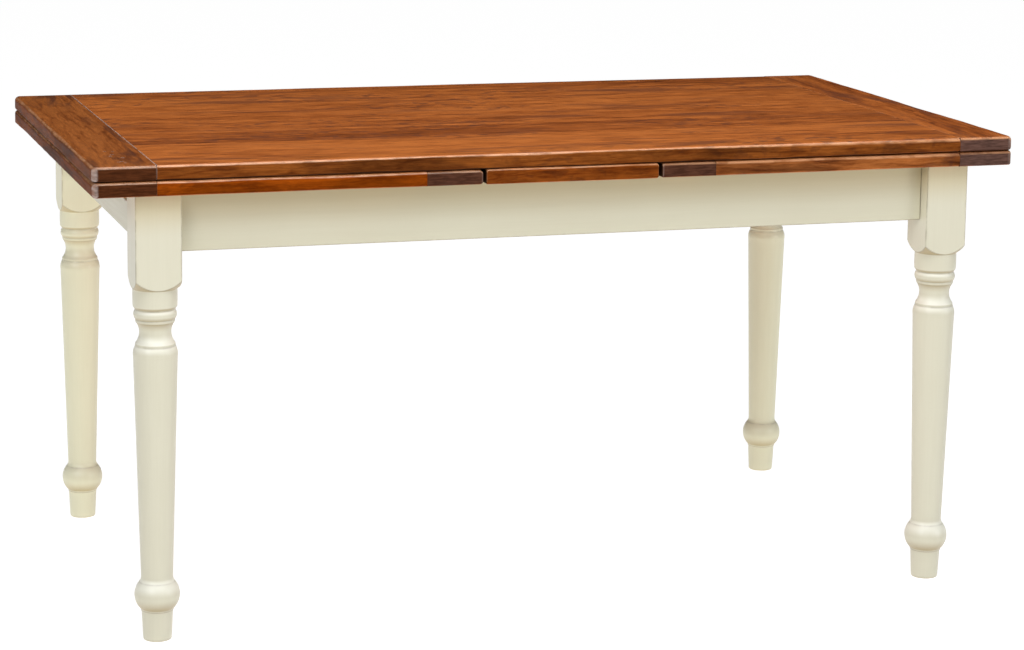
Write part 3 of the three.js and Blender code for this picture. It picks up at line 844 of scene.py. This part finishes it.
def paint(name, along, lines=(), has_glaze=False, tint=(1, 1, 1), pale=PAINTED_HIGHLIGHT):
    """Brushed cream paint, its strokes along X (0), Y (1) or Z (2), with thin dark glaze at the lines,
    each an (axis, place, width) of the flat face."""
    s = Shader(name, Specular_IOR_Level=0.6)
    rates = [7 if axis == along else 320 for axis in range(3)]
    wide_rates = [2 if axis == along else 60 for axis in range(3)]
    stroke = s.noise(s.place, rates, 3, 0.6)
    band = s.noise(s.place, wide_rates, 2)
    cloud = s.noise(s.place, (5, 5, 5), 3)
    shade = s.math("MULTIPLY", s.fit(stroke, 0.3, 0.75), 0.11)
    shade = s.math("ADD", shade, s.math("MULTIPLY", s.fit(cloud, 0.4, 0.7), 0.14))
    shade = s.math("ADD", shade, s.math("MULTIPLY", s.fit(band, 0.4, 0.7), 0.06))
    colour = s.mix(shade, tinted(CREAM, tint), tinted(CREAM_SHADE, tint))
    # Painted highlight: the upward-facing sides are mixed towards a pale colour, as if lit from above.
    coordinates = s.split(s.place)
    facing = s.split(s.add("ShaderNodeNewGeometry").outputs["Normal"])[2]
    colour = s.mix(s.fit(facing, 0.02, 0.5, 0.0, 0.9), colour, pale)

    # Painted shade: down-facing sides, and the paint close under the top's overhang, are darkened with a
    # warm tint.
    below = s.fit(facing, -0.75, -0.05, 1.0, 0.0)
    colour = s.mix(below, colour, s.mix(1.0, colour, PAINTED_SHADE_TINT["below"], "MULTIPLY"))
    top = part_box("apron_front")[1].z
    near_top = s.fit(coordinates[2], top - PAINTED_SHADE_TINT["reach"], top)
    colour = s.mix(near_top, colour, s.mix(1.0, colour, PAINTED_SHADE_TINT["under_top"], "MULTIPLY"))
    broken = s.fit(s.noise(s.place, (60, 60, 60), 3), 0.3, 0.6, 0.35, 1.0)
    if has_glaze:
        gathered = s.math("MULTIPLY", s.attribute("glaze"), broken)
        colour = s.mix(s.math("MULTIPLY", gathered, 0.75), colour, GLAZE)
    for axis, place, width in lines:
        away = s.math("ABSOLUTE", s.math("SUBTRACT", s.math("ABSOLUTE", coordinates[axis]), place))
        line = s.math("MULTIPLY", s.fit(away, 0.4 * width, width, 1.0, 0.0), broken)
        colour = s.mix(s.math("MULTIPLY", line, 0.7), colour, GLAZE)
    roughness = s.fit(stroke, 0.2, 0.8, 0.29, 0.42)
    return s.finish(colour, roughness, stroke, 0.08 * MM)


def zinc(name):
    s = Shader(name, Metallic=1.0)
    cloud = s.noise(s.place, (180, 180, 180), 4, 0.7)
    scratch = s.noise(s.place, (900, 60, 900), 2)
    colour = s.ramp(cloud, [(0.3, (0.42, 0.41, 0.37)), (0.7, (0.68, 0.67, 0.62))])
    return s.finish(colour, s.fit(scratch, 0.3, 0.7, 0.28, 0.5), scratch, 0.05 * MM)


# ---- The table ----

CENTRE_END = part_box("centre_board")[1].x
LEFT_CROSS = (0.68, 0.70, 0.74)
RIGHT_CROSS = (1.04, 1.03, 1.04)
# The tint of the cross boards' upright faces, partly their own tone and partly painted shade.
END_SHADE_AND_TONE = (0.62, 0.50, 0.30)
# Tints of the boards' long upright faces, partly their own tone and partly painted shade.
SIDE_SHADE_AND_TONE = {
    "top": (0.43, 0.41, 0.33),
    "centre": (0.68, 0.56, 0.33),
    "left": (0.56, 0.36, 0.08),
    "right": (0.66, 0.70, 0.80),
}
SEAM_WAX = 1.6 * MM
DENTS = {"count": 9, "in": (0.042, 0.075), "along": (0.03, 0.19), "radius": (1.6, 2.6)}

random.seed(7)


def dents():
    """Old worm holes, in a loose group near the front of the left cross board's seam."""
    low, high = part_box("top_breadboard_left")
    marks = []
    for _ in range(DENTS["count"]):
        x = low.x + random.uniform(*DENTS["in"])
        y = low.y + random.uniform(*DENTS["along"])
        marks.append(((x, y, high.z), random.uniform(*DENTS["radius"]) * MM))
    return marks


def leaf_materials(side):
    """The wood of one leaf's boards, by node."""
    sign = SIDES[side]
    panel = stained(f"{side}_leaf_wood", 0, 5 + sign, side_shade_and_tone=SIDE_SHADE_AND_TONE[side])
    materials = {f"{side}_leaf_panel": panel}
    outer_grain = {"left": "brown", "right": "purple"}[side]
    for end, seed, end_grain in (("outer", 8 + sign, outer_grain), ("inner", 11 + sign, "dusky")):
        materials[f"{side}_leaf_{end}_breadboard"] = stained(
            f"{side}_leaf_{end}_wood", 1, seed, LEFT_CROSS, END_SHADE_AND_TONE,
            grey_wear=0.8 if (side, end) == ("left", "outer") else 0.15,
            end_grain=end_grain, closed=CENTRE_END, calm=1.0,
        )
    return materials


def board_materials():
    """The wood of every board, by node."""
    wax = [(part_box("top_breadboard_left")[1].x, SEAM_WAX)]
    return {
        "top_panel": stained("top_wood", 0, 1, side_shade_and_tone=SIDE_SHADE_AND_TONE["top"], wax_at=wax),
        "top_breadboard_left": stained(
            "top_left_wood", 1, 2, LEFT_CROSS, END_SHADE_AND_TONE, grey_wear=0.85, wax_at=wax, marks=dents(), calm=1.0
        ),
        "top_breadboard_right": stained(
            "top_right_wood", 1, 3, RIGHT_CROSS, END_SHADE_AND_TONE, grey_wear=0.25, end_grain="purple", calm=0.7
        ),
        "centre_board": stained("centre_wood", 0, 4, side_shade_and_tone=SIDE_SHADE_AND_TONE["centre"], closed=CENTRE_END),
        **leaf_materials("left"),
        **leaf_materials("right"),
    }


def make_boards(materials):
    top_crosses = [("top_breadboard_left", -1), ("top_breadboard_right", 1)]
    make_clamped_board("top_panel", top_crosses, materials, EDGE, 1)
    for side, sign in SIDES.items():
        crosses = [(f"{side}_leaf_outer_breadboard", sign), (f"{side}_leaf_inner_breadboard", -sign)]
        make_clamped_board(f"{side}_leaf_panel", crosses, materials, LEAF_EDGE, 20 + sign)
    low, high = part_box("centre_board")
    low.x -= INNER_SWELL
    high.x += INNER_SWELL
    free = (True, True, True, True)
    centre = board(
        "centre_board_board", low, high, (low, high), 0, free, EDGE["panel"], EDGE["inner"], 31
    )
    show(centre, "centre_board", materials["centre_board"])


def make_legs():
    # The back legs' paint is a lighter copy, with a stronger painted highlight, standing in for the light
    # they lack.
    paints = {
        "front": paint("front_leg_paint", 2, has_glaze=True),
        "back": paint("back_leg_paint", 2, has_glaze=True, tint=BACK_LEG_PAINTED_LIGHT, pale=BACK_PAINTED_HIGHLIGHT),
    }
    for face in FACES:
        for side in SIDES:
            make_leg(face, side, paints[face])


def make_aprons():
    """The painted aprons, with a glaze line along each joint with a leg and along the lower edge."""
    side_low, side_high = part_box("apron_front")
    end_low, end_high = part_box("apron_left")
    side_lines = [(0, side_high.x, GLAZE_LINE["joint"]), (2, side_low.z, GLAZE_LINE["edge"])]
    end_lines = [(1, end_high.y, GLAZE_LINE["joint"]), (2, end_low.z, GLAZE_LINE["edge"])]
    # The aprons' paint is a darker copy, painted shade for their place under the top, the end aprons'
    # darkest.
    side_paint = paint("side_apron_paint", 0, side_lines, tint=SIDE_APRON_SHADE)
    end_paint = paint("end_apron_paint", 1, end_lines, tint=END_APRON_SHADE)
    for face in FACES:
        make_bevelled(f"apron_{face}", "painted", side_paint, BEVEL["painted"])
    for side in SIDES:
        make_bevelled(f"apron_{side}", "painted", end_paint, BEVEL["painted"])


def make_joinery():
    """The bare wood under the top, and the steel that holds it."""
    wood_along = [plain_wood(f"plain_wood_{axis}", i) for i, axis in enumerate("xyz")]
    bearer_wood = plain_wood("bearer_wood", 0, painted_from=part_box("apron_right")[0].x)
    steel = zinc("zinc")
    for side in SIDES:
        make_bevelled(f"cross_rail_{side}", "planed", wood_along[1], BEVEL["plain"])
    for face in FACES:
        make_bevelled(f"guide_peg_{face}", "turned", wood_along[2], BEVEL["peg"])
        for side in SIDES:
            make_bevelled(f"corner_block_{face}_{side}", "planed", wood_along[2], BEVEL["plain"])
            make_bevelled(f"hanger_bolt_{face}_{side}", "zinc", steel, BEVEL["bolt"])
            make_bevelled(f"centre_screw_{face}_{side}", "zinc", steel, BEVEL["screw"])
            make_bevelled(f"{side}_leaf_bearer_{face}", "planed", bearer_wood, BEVEL["plain"])
            make_bevelled(f"{side}_leaf_stop_{face}", "planed", wood_along[0], BEVEL["plain"])
            for number in (1, 2):
                make_bevelled(f"{side}_leaf_screw_{face}_{number}", "zinc", steel, BEVEL["screw"])


make_boards(board_materials())
make_legs()
make_aprons()
make_joinery()

# ---- Camera, floor and lights ----


def make_camera():
    """A camera at the photograph's place and angle."""
    data = bpy.data.cameras.new("camera")
    data.lens = CAMERA["lens"]
    data.sensor_width = 36
    data.shift_x, data.shift_y = CAMERA["shift"]
    camera = bpy.data.objects.new("camera", data)
    bpy.context.scene.collection.objects.link(camera)
    yaw, pitch, roll = CAMERA["yaw"], CAMERA["pitch"], CAMERA["roll"]
    aim = Vector((math.sin(yaw) * math.cos(pitch), math.cos(yaw) * math.cos(pitch), math.sin(pitch)))
    level = Vector((math.cos(yaw), -math.sin(yaw), 0))
    up = level.cross(aim)
    right = level * math.cos(roll) + up * math.sin(roll)
    up = up * math.cos(roll) - level * math.sin(roll)
    rotation = Matrix((right, up, -aim)).transposed()
    camera.matrix_world = Matrix.Translation(CAMERA["place"]) @ rotation.to_4x4()
    bpy.context.scene.camera = camera


def make_floor():
    """A wide floor that glows, so that it is white in a picture and lights the table from below."""
    half = FLOOR["half"]
    corners = [(-half, -half, 0), (half, -half, 0), (half, half, 0), (-half, half, 0)]
    mesh = bpy.data.meshes.new("floor")
    mesh.from_pydata(corners, [], [(0, 1, 2, 3)])
    floor = bpy.data.objects.new("floor", mesh)
    bpy.context.scene.collection.objects.link(floor)
    s = Shader("floor", Base_Color=FLOOR["grey"], Roughness=0.9, Specular_IOR_Level=0.0,
               Emission_Color=(1.0, 1.0, 1.0), Emission_Strength=FLOOR["glow"])
    mesh.materials.append(s.material)


def area_light(name, place, target, size, power):
    data = bpy.data.lights.new(name, "AREA")
    data.shape = "RECTANGLE"
    data.size, data.size_y = size
    data.energy = power
    light = bpy.data.objects.new(name, data)
    bpy.context.scene.collection.objects.link(light)
    light.location = place
    light.rotation_euler = (Vector(target) - Vector(place)).to_track_quat("-Z", "Y").to_euler()
    return light


def make_world():
    """A dim grey studio that glows a little, most of all overhead and in front of the table."""
    world = bpy.data.worlds.new("studio")
    bpy.context.scene.world = world
    world.use_nodes = True
    nodes, links = world.node_tree.nodes, world.node_tree.links
    place = nodes.new("ShaderNodeTexCoord")
    split = nodes.new("ShaderNodeSeparateXYZ")
    links.new(place.outputs["Generated"], split.inputs[0])
    glow = nodes.new("ShaderNodeMath")
    glow.operation = "ADD"
    for number, (socket, low, high, least, most) in enumerate(WORLD_GLOW):
        span = nodes.new("ShaderNodeMapRange")
        span.interpolation_type = "SMOOTHSTEP"
        links.new(split.outputs[socket], span.inputs["Value"])
        for name, value in (("From Min", low), ("From Max", high), ("To Min", least), ("To Max", most)):
            span.inputs[name].default_value = value
        links.new(span.outputs[0], glow.inputs[number])
    # Where the studio is seen directly, past the floor's edge, it is an even dark grey.
    seen = nodes.new("ShaderNodeLightPath")
    strength = nodes.new("ShaderNodeMath")
    strength.operation = "MAXIMUM"
    links.new(glow.outputs[0], strength.inputs[0])
    links.new(seen.outputs["Is Camera Ray"], strength.inputs[1])
    links.new(strength.outputs[0], nodes["Background"].inputs["Strength"])


bpy.context.scene.view_settings.view_transform = "Standard"
make_camera()
make_floor()
make_world()
for light in LIGHTS:
    area_light(*light)

bpy.context.view_layer.update()
